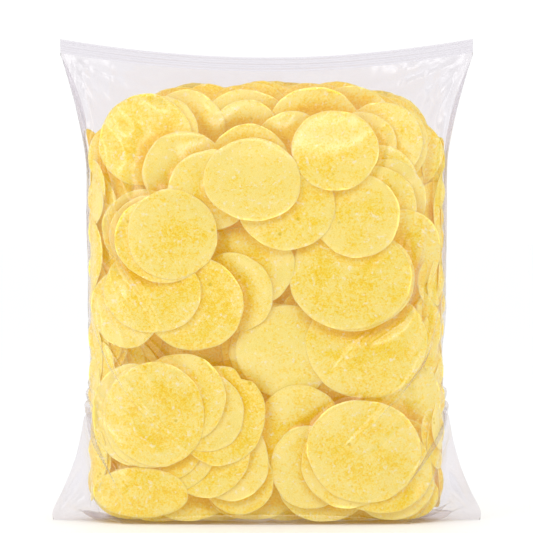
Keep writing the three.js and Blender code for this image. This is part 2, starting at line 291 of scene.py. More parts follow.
@dataclass
class Heap:
    """The papads in the bag, and the height that they have reached over the middle plane.

    The heights are kept on a grid over the bag's face. Blurs and reaches are in its cells.
    """

    form: BagForm
    rng: np.random.Generator
    cell: float = 1.5
    grid_half_width: float = 120.0
    grid_height: float = 300.0
    thickness: float = 0.85
    sheet: float = 0.5
    shoulder_top: float = 286.0
    shoulder_drop: float = 36.0
    shoulder_power: float = 5.0
    side: float = 115.5
    floor: float = 0.8
    steepest: float = 0.62
    most_bend: float = 4.0
    suppleness: float = 0.85
    most_over: float = 1.2
    fill_press: float = 0.9
    room_pull: float = 0.35
    fill_share: float = 1.02
    press_reach: int = 4
    pressed_from: float = 8.0
    least_squeeze: float = 0.4
    least_half_depth: float = 6.0
    face_press: float = 0.72
    dim_depth: float = 3.0
    anchor_blur: float = 6.0
    squeeze_blur: float = 4.0
    face_blur: float = 5.0
    hole_blur: float = 2.0
    papads: list[PapadShape] = field(default_factory=list)

    def __post_init__(self) -> None:
        """Lay out the grid over the bag's face and start the heap on the back film."""
        self.xs = np.arange(-self.grid_half_width, self.grid_half_width + self.cell, self.cell)
        self.zs = np.arange(0.0, self.grid_height + self.cell, self.cell)
        self.x, self.z = np.meshgrid(self.xs, self.zs)
        self.room = self.form.half_thickness(self.x * self.form.body_half_width / self.side, self.z)
        self.height = -self.room.copy()
        self.back = np.full_like(self.room, np.inf)
        self.front = np.full_like(self.room, -np.inf)
        self.reserve = np.zeros_like(self.room)
        self.anchor = soften(self.room, self.anchor_blur)
        self.squeeze = np.ones_like(self.room)

    def keep_room_for(self, shown: list[tuple[float, ...]], each: float = 1.1,
                      least: float = 0.3) -> None:
        """Keep room in front of the heap where the listed papads are still to be laid.

        The room for each fades out round its rim, from 0.75 to 1.1 of its radius.

        Args:
            shown: the papads still to come: place, size and any notch.
            each: room that one of them takes.
            least: room that is kept everywhere.
        """
        count = np.zeros_like(self.room)
        for x, z, half_width, half_height, *_ in shown:
            distance = np.hypot((self.x - x) / half_width, (self.z - z) / half_height)
            count += 1.0 - smoothstep(0.75, 1.1, distance)
        self.reserve = least + each * count

    def top(self, x: Array) -> Array:
        """Height of the heap's rounded shoulders, which fall as a power of the place across."""
        return self.shoulder_top - self.shoulder_drop * np.abs(x / self.side) ** self.shoulder_power

    def fits(self, papad: PapadShape) -> bool:
        """Whether a papad's rim stays inside the heap's outline."""
        angle = np.linspace(0.0, 2 * math.pi, 24, endpoint=False)
        x = papad.x + papad.half_width * np.cos(angle)
        z = papad.z + papad.half_height * np.sin(angle)
        return bool(np.all((np.abs(x) <= self.side) & (z <= self.top(x)) & (z >= self.floor)))

    def window(self, papad: PapadShape,
               stride: int = 1) -> tuple[tuple[slice, slice], Array, Array, Array]:
        """Find the grid cells under a papad.

        Args:
            papad: the papad.
            stride: 1 for every cell, 2 for every second one.

        Returns:
            The window of the grid round the papad, the place of each of its cells on the papad
            (right and up, from -1 to 1) and whether the cell is under it.
        """
        widest_rim = 1.05
        low = np.searchsorted(self.xs, papad.x - widest_rim * papad.half_width)
        high = np.searchsorted(self.xs, papad.x + widest_rim * papad.half_width)
        bottom = np.searchsorted(self.zs, papad.z - widest_rim * papad.half_height)
        top = np.searchsorted(self.zs, papad.z + widest_rim * papad.half_height)
        window = (slice(bottom, top, stride), slice(low, high, stride))
        right = (self.x[window] - papad.x) / papad.half_width
        up = (self.z[window] - papad.z) / papad.half_height
        under = np.hypot(right, up) <= papad.outline(np.arctan2(up, right))
        return window, right, up, under

    def rest(self, papad: PapadShape, press: float, stride: int = 1) -> float:
        """Bring a papad to rest on the heap without raising the heap.

        The curved surface of second order that fits the heap best under the papad, by least
        squares, gives its lean and most of its bend. It is then lifted until the given share of
        its underside clears the heap.

        Args:
            papad: the papad, which is given its lean, bend and lift.
            press: share of its underside that has to clear what is below.
            stride: 1 to measure every cell, more to measure fewer.

        Returns:
            How badly it lies, which is the mean gap under it, or no bound where it would stand
            out of the room that is left.
        """
        window, right, up, under = self.window(papad, stride)
        heap = self.height[window][under]
        r, u = right[under], up[under]
        basis = np.stack([np.ones_like(r), r, u, r * r - 0.25, u * u - 0.25, r * u])
        fit = np.linalg.solve(basis @ basis.T + 1e-6 * np.eye(6), basis @ heap)
        reach = self.steepest * np.array([papad.half_width, papad.half_height])
        papad.lean = tuple(np.clip(fit[1:3], -reach, reach))
        papad.bend = tuple(np.array(papad.chance_bend)
                           + self.suppleness * np.clip(fit[3:], -self.most_bend, self.most_bend))
        papad.lift = 0.0
        shape = papad.surface(r, u)
        papad.lift = float(np.quantile(heap - shape, press))
        top = shape + papad.lift + self.thickness
        over = np.mean(np.maximum(top - (self.room - self.reserve)[window][under], 0.0))
        if over > self.most_over:
            return math.inf
        return float(np.mean(np.maximum(top - heap, 0.0)) + 2.0 * over)

    def lay(self, papad: PapadShape, press: float = 0.998) -> None:
        """Lay a papad on the heap and raise the heap by it.

        Args:
            papad: the papad.
            press: share of its underside that has to clear what is below.
        """
        self.rest(papad, press)
        window, right, up, under = self.window(papad)
        heap = self.height[window]
        underside = papad.surface(right, up)
        top = underside + self.thickness
        self.height[window] = np.where(under, np.maximum(heap, top), heap)
        self.front[window] = np.where(under, np.maximum(self.front[window], top), self.front[window])
        self.back[window] = np.where(under, np.minimum(self.back[window], underside), self.back[window])
        self.papads.append(papad)

    def fill(self, maker: PapadMaker, sizes: tuple[float, float] = (29.0, 37.5), tries: int = 26,
             limit: int = 700, least_room: float = 1.0, most_misses: int = 10) -> int:
        """Lay papads where they lie best until only the room that is kept is left.

        Args:
            maker: makes each papad.
            sizes: least and greatest radius.
            tries: places drawn for each papad, of which the one where it lies best is taken.
            limit: the most papads laid.
            least_room: mean room that a papad has to find.
            most_misses: how often, one after another, no try may find a place.

        Returns:
            How many papads were laid.
        """
        laid = 0
        misses = 0
        while laid < limit and misses < most_misses:
            best, least = None, math.inf
            for _ in range(tries):
                radius = self.rng.uniform(*sizes)
                papad = maker.make(
                    self.rng.uniform(-self.side + radius, self.side - radius),
                    self.rng.uniform(self.floor + radius * 0.9, self.shoulder_top - radius * 0.9),
                    radius, radius * self.rng.uniform(0.86, 1.0))
                if not self.fits(papad):
                    continue
                room = self.room_over(papad)
                if room < least_room:
                    continue
                cost = self.rest(papad, self.fill_press, stride=3) - self.room_pull * room
                if cost < least:
                    best, least = papad, cost
            if best is None:
                misses += 1
                continue
            misses = 0
            self.lay(best, self.fill_press)
            laid += 1
        return laid

    def cover_holes(self, maker: PapadMaker, sizes: tuple[float, float] = (22.0, 27.0),
                    count: int = 60, least: float = 1.8, apart: float = 6.0) -> int:
        """Lay a papad over the deepest hole in the heap, again and again.

        Args:
            maker: makes each papad.
            sizes: least and greatest radius.
            count: the most papads laid.
            least: depth below which a hole is left.
            apart: least distance of a hole from the heap's outline and from the last holes.

        Returns:
            How many papads were laid.
        """
        inside = (np.abs(self.x) < self.side - apart) & (self.z > self.floor + apart)
        inside &= self.z < self.top(self.x) - apart
        for laid in range(count):
            depth = soften(self.room - self.reserve - self.height, self.hole_blur)
            hole = np.where(inside, depth, 0.0)
            row, column = np.unravel_index(np.argmax(hole), hole.shape)
            if hole[row, column] < least:
                return laid
            radius = self.rng.uniform(*sizes)
            x = np.clip(self.xs[column], -self.side + radius, self.side - radius)
            top = self.top(abs(x) + 0.7 * radius) - 0.95 * radius
            z = np.clip(self.zs[row], self.floor + radius, top)
            self.lay(maker.make(float(x), float(z), radius, radius * 0.95), self.fill_press)
            inside &= np.hypot(self.x - self.xs[column], self.z - self.zs[row]) > apart
        return count

    def press_back(self) -> None:
        """Press the whole heap back where it stands out of the bag's front.

        Every height over the back film is multiplied by a share that changes slowly over the
        bag's face: the room from the back film to the front one, over the greatest height that the
        heap has reached near there.
        """
        laid = np.isfinite(self.front) & (self.room > self.pressed_from)
        reached = np.where(laid, self.front + self.anchor, 1.0)
        wanted = 2.0 * self.fill_share * self.anchor / reached
        share = np.where(laid, np.clip(wanted, self.least_squeeze, 1.0), 1.0)
        for axis in (0, 1):
            shifts = range(-self.press_reach, self.press_reach + 1)
            share = np.min([np.roll(share, shift, axis=axis) for shift in shifts], axis=0)
        self.squeeze = soften(share, self.squeeze_blur)
        for grid, offset, layer in ((self.front, self.thickness, self.sheet), (self.back, 0.0, 0.0)):
            grid[:] = self.pressed(self.x, self.z, grid - offset) + layer
        self.even_front, self.even_back = (
            soften(np.where(np.isfinite(grid), grid, bare), self.face_blur)
            for grid, bare in ((self.front, self.least_half_depth), (self.back, -self.least_half_depth)))

    def pressed(self, x: Array, z: Array, height: Array) -> Array:
        """Height over the middle plane after the heap is pressed, at a place on the face.

        The share t of the way from the back film to the front one becomes t - k/2pi sin(2pi t),
        so that the papads lie closer against both films, and looser in the middle.
        """
        first, step = (self.zs[0], self.xs[0]), (self.cell, self.cell)
        anchor = read_grid(self.anchor, first, step, z, x)
        depth = 2.0 * self.fill_share * np.maximum(anchor, self.least_half_depth)
        share = (height + anchor) * read_grid(self.squeeze, first, step, z, x) / depth
        full = 2.0 * math.pi
        share = share - self.face_press / full * np.sin(full * np.clip(share, 0.0, 1.0))
        return share * depth - anchor

    # Painted shade: this share deepens the papads' colour where they lie deep in the heap.
    def shade_depth(self, x: Array, z: Array, height: Array) -> Array:
        """How deep a point lies below the evened-out front and back of the heap, as a share.

        Args:
            x: place across the bag.
            z: height over the floor.
            height: how far in front of the middle plane it lies.

        Returns:
            0 at the nearer face of the heap, 1 at the depth where little light comes, and a
            little under 0 for what stands out.
        """
        first, step = (self.zs[0], self.xs[0]), (self.cell, self.cell)
        to_front = read_grid(self.even_front, first, step, z, x) - height
        to_back = height - read_grid(self.even_back, first, step, z, x)
        return np.clip(np.minimum(to_front, to_back) / self.dim_depth, -0.1, 1.0)

    def room_over(self, papad: PapadShape) -> float:
        """Mean room between the heap and what is kept free, over a papad's place."""
        window, _, _, under = self.window(papad, 3)
        return float(np.mean((self.room - self.reserve - self.height)[window][under]))


class MeshBuilder:
    """Gathers vertices, faces and point attributes, and makes them one mesh object."""

    def __init__(self, name: str) -> None:
        """Start an empty mesh of the given name."""
        self.name = name
        self.points: list[Array] = []
        self.faces: list[Array] = []
        self.attributes: dict[str, list[Array]] = {}
        self.count = 0

    def add(self, points: Array, faces: Array, **attributes: Array) -> None:
        """Add one closed surface.

        Args:
            points: its vertices in millimetres, one to a row.
            faces: its quads as rows of four vertex numbers, or triangles as rows that repeat
                the last number.
            attributes: one value, or one vector, for each vertex.
        """
        self.points.append(points)
        self.faces.append(faces + self.count)
        for name, values in attributes.items():
            self.attributes.setdefault(name, []).append(values)
        self.count += len(points)

    def build(self, material: bpy.types.Material) -> bpy.types.Object:
        """Make the mesh object, smooth shaded but for its folds, in metres.

        An edge is a fold where both its ends have the same fold number, other than 0.

        Args:
            material: the finish of the whole piece.

        Returns:
            The object, linked into the scene.
        """
        points = np.concatenate(self.points) * MM
        faces = np.concatenate(self.faces)
        is_triangle = faces[:, 2] == faces[:, 3]
        sizes = np.where(is_triangle, 3, 4)
        starts = np.concatenate([[0], np.cumsum(sizes)[:-1]])
        keep = np.ones(faces.shape, bool)
        keep[is_triangle, 3] = False
        mesh = bpy.data.meshes.new(self.name)
        mesh.vertices.add(len(points))
        mesh.vertices.foreach_set("co", points.astype(np.float32).ravel())
        mesh.loops.add(int(sizes.sum()))
        mesh.loops.foreach_set("vertex_index", faces[keep].astype(np.int32))
        mesh.polygons.add(len(faces))
        mesh.polygons.foreach_set("loop_start", starts.astype(np.int32))
        mesh.polygons.foreach_set("use_smooth", np.ones(len(faces), bool))
        mesh.update(calc_edges=True)
        folds = self.attributes.pop("fold", None)
        if folds is not None:
            ends = np.empty(2 * len(mesh.edges), np.int32)
            mesh.edges.foreach_get("vertices", ends)
            fold = np.concatenate(folds)[ends.reshape(-1, 2)]
            sharp = mesh.attributes.new("sharp_edge", "BOOLEAN", "EDGE")
            sharp.data.foreach_set("value", (fold[:, 0] > 0) & (fold[:, 0] == fold[:, 1]))
        for name, parts in self.attributes.items():
            values = np.concatenate(parts).astype(np.float32)
            kind, key = ("FLOAT", "value") if values.ndim == 1 else ("FLOAT_VECTOR", "vector")
            mesh.attributes.new(name, kind, "POINT").data.foreach_set(key, values.ravel())
        mesh.materials.append(material)
        piece = bpy.data.objects.new(self.name, mesh)
        bpy.context.scene.collection.objects.link(piece)
        return piece


@dataclass
class SideWrap:
    """One side of the bag, where papads stand bent round its corners, in layers.

    A place on it is a depth y, a height z and an inset n below the outermost layer. The section at
    that inset is a superellipse, x = (w - n) * (1 - |y / (d - n)|^a)^b, smaller by n all round.
    """

    form: BagForm
    rng: np.random.Generator
    sign: float
    half_width: float = 114.4
    depth_power: float = 2.6
    width_power: float = 0.143
    most_round: float = 0.95
    corner_hold: float = 0.25
    deepest: float = 13.0
    film_room: float = 0.6
    depth_places: tuple[float, float] = (3.0, 11.0)
    heights: tuple[float, float] = (29.0, 234.0)
    half_widths: tuple[float, float] = (14.0, 18.0)
    inner_wider: float = 5.0
    half_heights: tuple[float, float] = (20.0, 28.0)
    most_turn: float = 0.7
    lean_round: tuple[float, float] = (0.3, 1.6)
    lean_up: float = 0.8
    papads: list[PapadShape] = field(default_factory=list)

    def stand(self, maker: PapadMaker, count: int = 72) -> None:
        """Stand papads against the side, the inner ones first.

        Args:
            maker: makes each papad.
            count: how many stand there.
        """
        for layer in range(count):
            inner = 1.0 - layer / (count - 1)
            draw = self.rng.uniform
            towards = self.rng.choice([-1.0, 1.0])
            papad = maker.make(towards * draw(*self.depth_places), draw(*self.heights),
                               draw(*self.half_widths) + self.inner_wider * inner, draw(*self.half_heights))
            papad.lift = self.deepest * inner
            papad.turn = draw(-self.most_turn, self.most_turn)
            papad.lean = (draw(*self.lean_round) * towards, draw(-self.lean_up, self.lean_up))
            self.papads.append(papad)

    def points(self, papad: PapadShape, right: Array, up: Array, out: Array | float) -> Array:
        """Points of a papad that stands against the side.

        Args:
            papad: the papad, whose x is its depth and whose lift is its inset.
            right: place across the papad, -1 to 1, before it is turned.
            up: place up the papad, -1 to 1, before it is turned.
            out: how far the point stands out of the papad's underside.

        Returns:
            One row of x, y, z for each place.
        """
        across, along = papad.half_width * right, papad.half_height * up
        z = papad.z + math.sin(papad.turn) * across + math.cos(papad.turn) * along
        depth_place = papad.x + math.cos(papad.turn) * across - math.sin(papad.turn) * along
        inset = papad.lift + papad.lean[0] * right + papad.lean[1] * up + papad.own_bend(right, up)
        inset = np.maximum(inset, 0.0) + self.film_room - out
        depth = self.form.half_thickness(np.zeros_like(z), np.maximum(z, self.form.base_rounding)) - inset
        share = depth_place / depth
        held = 1.0 + self.corner_hold * share ** 2
        share = self.most_round * np.tanh(share / self.most_round * held)
        width = self.form.body_width(z) - self.form.body_half_width + self.half_width - inset
        x = width * (1.0 - np.abs(share) ** self.depth_power) ** self.width_power
        return np.stack([self.sign * x, share * depth, z], axis=1)


@dataclass
class PapadMesh:
    """Turns laid papads into closed discs, so many points round and so many rings to each face."""

    heap: Heap
    around: int
    rings: int
    rim_round: float = 0.45
    ring_power: float = 0.8

    def grid_faces(self) -> Array:
        """Faces of a closed disc: a fan at each middle, and quads between the rings."""
        steps = np.arange(self.around)
        following = (steps + 1) % self.around
        total_rings = 2 * self.rings + 1
        fans = np.stack([np.zeros_like(steps), 1 + steps, 1 + following, 1 + following], axis=1)
        faces = [fans]
        for ring in range(total_rings - 1):
            low = 1 + ring * self.around
            high = low + self.around
            faces.append(np.stack([low + steps, high + steps, high + following, low + following], axis=1))
        last = 1 + (total_rings - 1) * self.around
        end = np.full_like(steps, 1 + total_rings * self.around)
        faces.append(np.stack([end, last + following, last + steps, last + steps], axis=1))
        return np.concatenate(faces)

    def add(self, builder: MeshBuilder, papad: PapadShape, number: int,
            wrap: SideWrap | None = None) -> None:
        """Add one papad: its front, a rounded rim and its back.

        Args:
            builder: the mesh it goes into.
            papad: the laid papad.
            number: its number, which shifts the pattern on it.
            wrap: the side that it stands against, if it isn't in the heap.
        """
        angle = np.linspace(0.0, 2 * math.pi, self.around, endpoint=False)
        share = np.linspace(0.0, 1.0, self.rings + 1)[1:] ** self.ring_power
        share = share * (1.0 - self.rim_round / papad.half_width)
        ring_share = np.concatenate([share, [1.0], share[::-1]])
        level = np.concatenate([np.full(self.rings, 1.0), [0.5], np.zeros(self.rings)])
        radius = ring_share[:, None] * papad.outline(angle)[None, :]
        right = np.concatenate([[0.0], (radius * np.cos(angle)).ravel(), [0.0]])
        up = np.concatenate([[0.0], (radius * np.sin(angle)).ravel(), [0.0]])
        over = np.concatenate([[1.0], np.repeat(level, self.around), [0.0]])
        # Each point carries a share of painted shade, by how deep it lies in the heap or in a side's layers.
        if wrap is None:
            x, z = papad.x + papad.half_width * right, papad.z + papad.half_height * up
            front = self.heap.pressed(x, z, papad.surface(right, up)) + self.heap.sheet * over
            points = np.stack([x, -front, z], axis=1)
            shade_depth = self.heap.shade_depth(x, z, front)
        else:
            points = wrap.points(papad, right, up, self.heap.sheet * over)
            shade_depth = np.full(len(points), papad.lift / wrap.deepest)
        rim = np.concatenate([[0.0], np.repeat(ring_share, self.around), [0.0]])
        pattern = np.stack([
            papad.half_width * right + 97.0 * (number % 23),
            papad.half_height * up + 89.0 * (number // 23),
            41.0 * (number % 7) + 3.0 * over,
        ], axis=1)
        builder.add(
            points, self.grid_faces(),
            pattern=pattern,
            to_rim=(1.0 - rim) * papad.half_width,
            shade_depth=shade_depth,
            tone=np.full(len(points), papad.tone),
        )


@dataclass(frozen=True)
class CornerFan:
    """Folds that fan out of one corner of the bag.

    The corner lies at a height over the floor, and some way beyond the end of the seal. A fold is
    an angle and a width in radians, and a height. It has its full height where it is the distance
    rise from the corner, and has died away at the distance fall.
    """

    height: float
    beyond: float
    rise: float
    fall: float
    folds: tuple[tuple[float, float, float], ...]


# The film is drawn in at the ends of the seal and at the tips of the ears.
CORNER_FANS = (
    CornerFan(304.0, 0.0, 40.0, 130.0,
              ((0.42, 0.05, 1.2), (0.72, 0.12, 3.4), (0.98, 0.05, 1.6), (1.2, 0.07, 2.0))),
    CornerFan(0.0, 5.0, 8.0, 62.0,
              ((0.16, 0.06, 1.2), (0.42, 0.09, 2.2), (0.8, 0.07, 1.4), (1.12, 0.08, 1.6))),
)


@dataclass
class FilmTube:
    """The bag's film: a flat tube, sealed along both ends, drawn over the heap.

    The film is a grid of points joined by springs that hardly stretch. Each pass moves every
    point on by its own speed, pulls the springs back to their flat length, and pushes points that
    are inside the heap or under the floor out again. What is too long for its way creases.
    """

    form: BagForm
    heap: Heap
    sides: tuple[SideWrap, ...]
    rng: np.random.Generator
    flat_width: float = 278.0
    flat_length: float = 340.0
    clearance: float = 0.5
    floor_gap: float = 0.3
    bend_stiffness: float = 0.08
    draw_in: float = 0.0015
    wall_gap: float = 0.25
    core_half_width: float = 96.0
    edge_held: tuple[float, float] = (60.0, 112.0)
    ease: float = 1.004
    side_draw: float = 0.12
    weight: float = 0.002
    straight_pull: tuple[float, float] = (1.0, 0.5)
    slanted_pull: tuple[float, float] = (0.6, 0.3)
    wall_levels: int = 240
    arc_samples: int = 400
    floor_levels: int = 24
    loose_share: float = 1.05
    tent_overlap: float = 10.0
    tent_depth: float = 9.0
    tent_height: float = 30.0
    tent_power: float = 1.4
    most_depth: float = 44.0
    unevenness: float = 0.15
    spacing: float = 3.1

    def sections(self, levels: int, samples: int, columns: int) -> Array:
        """Points of the bag's front face, evenly spaced along each level's own arc.

        Args:
            levels: rows from the floor to the seal.
            samples: points on which each arc is measured.
            columns: columns wanted from the left edge to the right.

        Returns:
            Array of levels by columns by 3.
        """
        turn = np.linspace(-math.pi / 2, math.pi / 2, samples)
        share = np.linspace(0.0, 1.0, levels)[:, None]
        across = np.sin(turn)[None, :]
        z = share * self.form.seal_line(across)
        x = across * self.form.film_width(z)
        y = -self.film_half_thickness(x, z)
        length = np.hypot(np.diff(x, axis=1), np.diff(y, axis=1))
        along = np.concatenate([np.zeros((levels, 1)), np.cumsum(length, axis=1)], axis=1)
        wanted = np.linspace(0.0, 1.0, columns)
        points = np.empty((levels, columns, 3))
        for level in range(levels):
            place = wanted * along[level, -1]
            for axis, values in enumerate((x, y, z)):
                points[level, :, axis] = np.interp(place, along[level], values[level])
        return points

    def film_half_thickness(self, x: Array, z: Array) -> Array:
        """Half the thickness between the two walls: the body, and the tent out to the ears."""
        body = self.form.half_thickness(x, z) * self.loose_share
        width = self.form.film_width(z)
        tent_width = width - self.form.body_width(z) + self.tent_overlap
        to_edge = np.clip((width - np.abs(x)) / tent_width, 0.0, 1.0)
        tent = self.tent_depth * np.exp(-z / self.tent_height) * to_edge ** self.tent_power
        return np.hypot(body, tent)

    def start(self, spacing: float) -> Array:
        """Place the tube round the heap before it is drawn tight.

        Each column runs from the bottom seam across the floor to the face and up to the seal, and
        its points are spread evenly along it.

        Args:
            spacing: distance between points of the flat film.

        Returns:
            Array of rows by points round the tube by 3. The first half goes along the front from
            left to right, the second along the back from right to left.
        """
        columns = 2 * round(self.flat_width / spacing / 2) + 1
        rows = round(self.flat_length / spacing) + 1
        wall = self.sections(self.wall_levels, self.arc_samples, columns)
        seam = wall[:1].copy()
        seam[0, :, 0] = np.linspace(-0.5, 0.5, columns) * self.flat_width
        seam[0, :, 1] = 0.0
        floor_steps = np.linspace(0.0, 1.0, self.floor_levels, endpoint=False)[:, None, None]
        route = np.concatenate([seam + (wall[:1] - seam) * floor_steps, wall])
        length = np.linalg.norm(np.diff(route, axis=0), axis=2)
        along = np.concatenate([np.zeros((1, columns)), np.cumsum(length, axis=0)])
        share = np.linspace(0.0, 1.0, rows)
        front = np.empty((rows, columns, 3))
        for column in range(columns):
            place = share * along[-1, column]
            for axis in range(3):
                front[:, column, axis] = np.interp(place, along[:, column], route[:, column, axis])
        back = front[:, -2:0:-1] * np.array([1.0, -1.0, 1.0])
        tube = np.concatenate([front, back], axis=1)
        tube[..., 1] += self.form.middle_plane(tube[..., 0], tube[..., 2])
        tube[..., 2] = np.maximum(tube[..., 2], self.floor_gap)
        return tube

    def side_reach(self) -> tuple[Array, Array, Array, Array]:
        """How far the papads' rims reach left and right, on a grid of depth and height.

        Returns:
            The grid's depths, its heights, and the reach to the left and to the right on it.
        """
        depth_step, height_step = 2.0, 3.0
        depths = np.arange(-self.most_depth, self.most_depth + depth_step, depth_step)
        heights = np.arange(0.0, self.heap.grid_height + height_step, height_step)
        reach = np.full((2, len(heights), len(depths)), -1.0)

        def cells(y: Array, z: Array) -> tuple[Array, Array]:
            """Row and column of the grid at a depth and a height."""
            row = np.clip(np.rint(z / height_step).astype(int), 0, len(heights) - 1)
            column = np.clip(np.rint((y - depths[0]) / depth_step).astype(int), 0, len(depths) - 1)
            return row, column

        angle = np.linspace(0.0, 2 * math.pi, 120, endpoint=False)
        for papad in self.heap.papads:
            rim = papad.outline(angle)
            right, up = rim * np.cos(angle), rim * np.sin(angle)
            x, z = papad.x + papad.half_width * right, papad.z + papad.half_height * up
            y = -self.heap.pressed(x, z, papad.surface(right, up)) - 0.5 * self.heap.sheet
            place = cells(y, z)
            np.maximum.at(reach[0], place, -x)
            np.maximum.at(reach[1], place, x)
        for x, y, z in (points.T for points in self.side_points()):
            np.maximum.at(reach[0 if x[0] < 0.0 else 1], cells(y, z), np.abs(x))
        for _ in range(2):
            padded = np.pad(reach, ((0, 0), (1, 1), (1, 1)), constant_values=-1.0)
            rows, columns = reach.shape[1:]
            around = [padded[:, i:i + rows, j:j + columns] for i in range(3) for j in range(3)]
            reach = np.max(around, axis=0)
        reach = np.maximum(reach, self.core_half_width)
        return depths, heights, reach[0], reach[1]

    def side_points(self) -> list[Array]:
        """Points all over the outer faces of the papads that stand against the sides."""
        place = np.linspace(-1.0, 1.0, 41)
        right, up = (axis.ravel() for axis in np.meshgrid(place, place))
        on = np.hypot(right, up) <= 1.0
        stood = [(side, papad) for side in self.sides for papad in side.papads]
        return [side.points(papad, right[on], up[on], self.heap.sheet) for side, papad in stood]

    def add_sides(self) -> None:
        """Raise the solid front and back under the film by the papads that stand at the sides."""
        for points in self.side_points():
            row = np.rint(points[:, 2] / self.heap.cell).astype(int)
            column = np.rint((points[:, 0] - self.heap.xs[0]) / self.heap.cell).astype(int)
            np.maximum.at(self.solid_front, (row, column), -points[:, 1])
            np.maximum.at(self.solid_back, (row, column), points[:, 1])

    def push_out(self, tube: Array, free: Array) -> None:
        """Move points that are inside the heap out by the shortest way, and lift them off the floor.

        Args:
            tube: the film's points, which are moved.
            free: how freely each of them moves, 0 to 1.
        """
        x, y, z = tube[..., 0], tube[..., 1], tube[..., 2]
        first, step = (self.heap.zs[0], self.heap.xs[0]), (self.heap.cell, self.heap.cell)
        front = read_grid(self.solid_front, first, step, z, x) + self.clearance
        back = read_grid(self.solid_back, first, step, z, x) + self.clearance
        depths, heights, left, right = self.reach
        grid_first, grid_step = (0.0, depths[0]), (heights[1], depths[1] - depths[0])
        side = np.where(x < 0.0, read_grid(left, grid_first, grid_step, z, y),
                        read_grid(right, grid_first, grid_step, z, y)) + self.clearance
        to_front, to_back, to_side = front + y, back - y, side - np.abs(x)
        inside = (to_front > 0.0) & (to_back > 0.0) & (to_side > 0.0)
        nearest = np.minimum(np.minimum(to_front, to_back), to_side)
        move_y = np.where(to_front <= nearest, -to_front, np.where(to_back <= nearest, to_back, 0.0))
        move_x = np.where(to_side <= nearest, np.sign(x) * to_side, 0.0)
        mask = inside * free
        tube[..., 1] += move_y * mask
        tube[..., 0] += np.where(move_y == 0.0, move_x, 0.0) * mask
        wide = np.abs(tube[..., 0]) - self.form.film_width(tube[..., 2])
        tube[..., 0] -= np.sign(tube[..., 0]) * self.side_draw * np.maximum(wide, 0.0) * free
        middle = self.form.middle_plane(tube[..., 0], tube[..., 2])
        from_middle = tube[..., 1] - middle
        gap = self.wall_gap * free
        kept = np.where(self.outward < 0.0, np.minimum(from_middle, -gap), np.maximum(from_middle, gap))
        tube[..., 1] = middle + np.where(self.outward == 0.0, from_middle, kept)
        tube[..., 2] = np.maximum(tube[..., 2], self.floor_gap)

    @staticmethod
    def pull(a: Array, b: Array, rest: Array | float, free_a: Array, free_b: Array,
             stretch: float, squeeze: float) -> None:
        """Bring two rows of points back to a distance, each moving by its share of freedom.

        Args:
            a: the first row of points, which are moved.
            b: the second row, which are moved too.
            rest: the distance between them when the film is flat.
            free_a: how freely each point of the first row moves, 0 to 1.
            free_b: how freely each point of the second row moves.
            stretch: share of what they are too far apart that is taken back.
            squeeze: share of what they are too close that is taken back.
        """
        gap = b - a
        length = np.sqrt(np.einsum("...k,...k->...", gap, gap)) + 1e-9
        strain = (length - rest) / length
        stiffness = np.where(strain > 0.0, stretch, squeeze)
        share = stiffness * strain / np.maximum(free_a + free_b, 1e-6)
        a += gap * (share * free_a)[..., None]
        b -= gap * (share * free_b)[..., None]

    def tighten(self, tube: Array, free: Array, high: Array, wide: float) -> None:
        """Pull every spring of the film once: along, across, both diagonals and the bends.

        Args:
            tube: the film's points, which are moved.
            free: how freely each of them moves, 0 to 1.
            high: flat distance between points along each column.
            wide: flat distance between columns.
        """
        slant = np.hypot(high, wide)
        for start in (0, 1):
            a, b = slice(start, -1, 2), slice(start + 1, None, 2)
            self.pull(tube[a], tube[b], high, free[a], free[b], *self.straight_pull)
            for here, there in ((slice(None, -1), slice(1, None)), (slice(1, None), slice(None, -1)),
                                (slice(-1, None), slice(0, 1)), (slice(0, 1), slice(-1, None))):
                self.pull(tube[a, here], tube[b, there], slant[here], free[a, here], free[b, there],
                          *self.slanted_pull)
        for a, b in ((slice(0, None, 2), slice(1, None, 2)), (slice(1, -1, 2), slice(2, None, 2)),
                     (slice(-1, None), slice(0, 1))):
            self.pull(tube[:, a], tube[:, b], wide, free[:, a], free[:, b], *self.straight_pull)
        for start in range(4):
            a, b = slice(start, -2, 4), slice(start + 2, None, 4)
            self.pull(tube[a], tube[b], 2 * high, free[a], free[b], 0.0, self.bend_stiffness)
            self.pull(tube[:, a], tube[:, b], 2 * wide, free[:, a], free[:, b], 0.0, self.bend_stiffness)

    def settle(self, tube: Array, lengths: Array, passes: int, damping: float = 0.92) -> Array:
        """Let the film draw tight over the heap.

        Args:
            tube: the film's points.
            lengths: the film's length along each column of points.
            passes: how many times every point moves.
            damping: share of its speed that a point keeps.

        Returns:
            The settled points.
        """
        rows, ring, _ = tube.shape
        high, wide = lengths / (rows - 1), self.flat_width / (ring / 2)
        free = np.ones((rows, ring))
        free[0] = free[-1] = 0.0
        under_heap = (tube[..., 2] <= self.floor_gap + 0.01) & (np.abs(tube[..., 0]) < self.core_half_width)
        free[under_heap] = 0.0
        edges = [0, ring // 2]
        free[:, edges] = np.minimum(smoothstep(*self.edge_held, tube[..., 2]) ** 2, free)[:, edges]
        column = np.arange(ring)
        self.outward = np.where((column > 0) & (column < ring // 2), -1.0, 1.0)
        self.outward[edges] = 0.0
        speed = np.zeros_like(tube)
        for _ in range(passes):
            before = tube.copy()
            tube = tube + speed * free[..., None]
            tube[..., 1] -= self.draw_in * self.outward * free
            tube[..., 2] -= self.weight * free
            self.tighten(tube, free, high, wide)
            self.push_out(tube, free)
            speed = (tube - before) * damping
        return tube

    @staticmethod
    def refine(tube: Array) -> Array:
        """Put a point between every two, along the tube and round it."""
        rows = np.empty((2 * tube.shape[0] - 1, *tube.shape[1:]))
        rows[0::2] = tube
        rows[1::2] = 0.5 * (tube[:-1] + tube[1:])
        fine = np.empty((rows.shape[0], 2 * rows.shape[1], 3))
        fine[:, 0::2] = rows
        fine[:, 1::2] = 0.5 * (rows + np.roll(rows, -1, axis=1))
        return fine

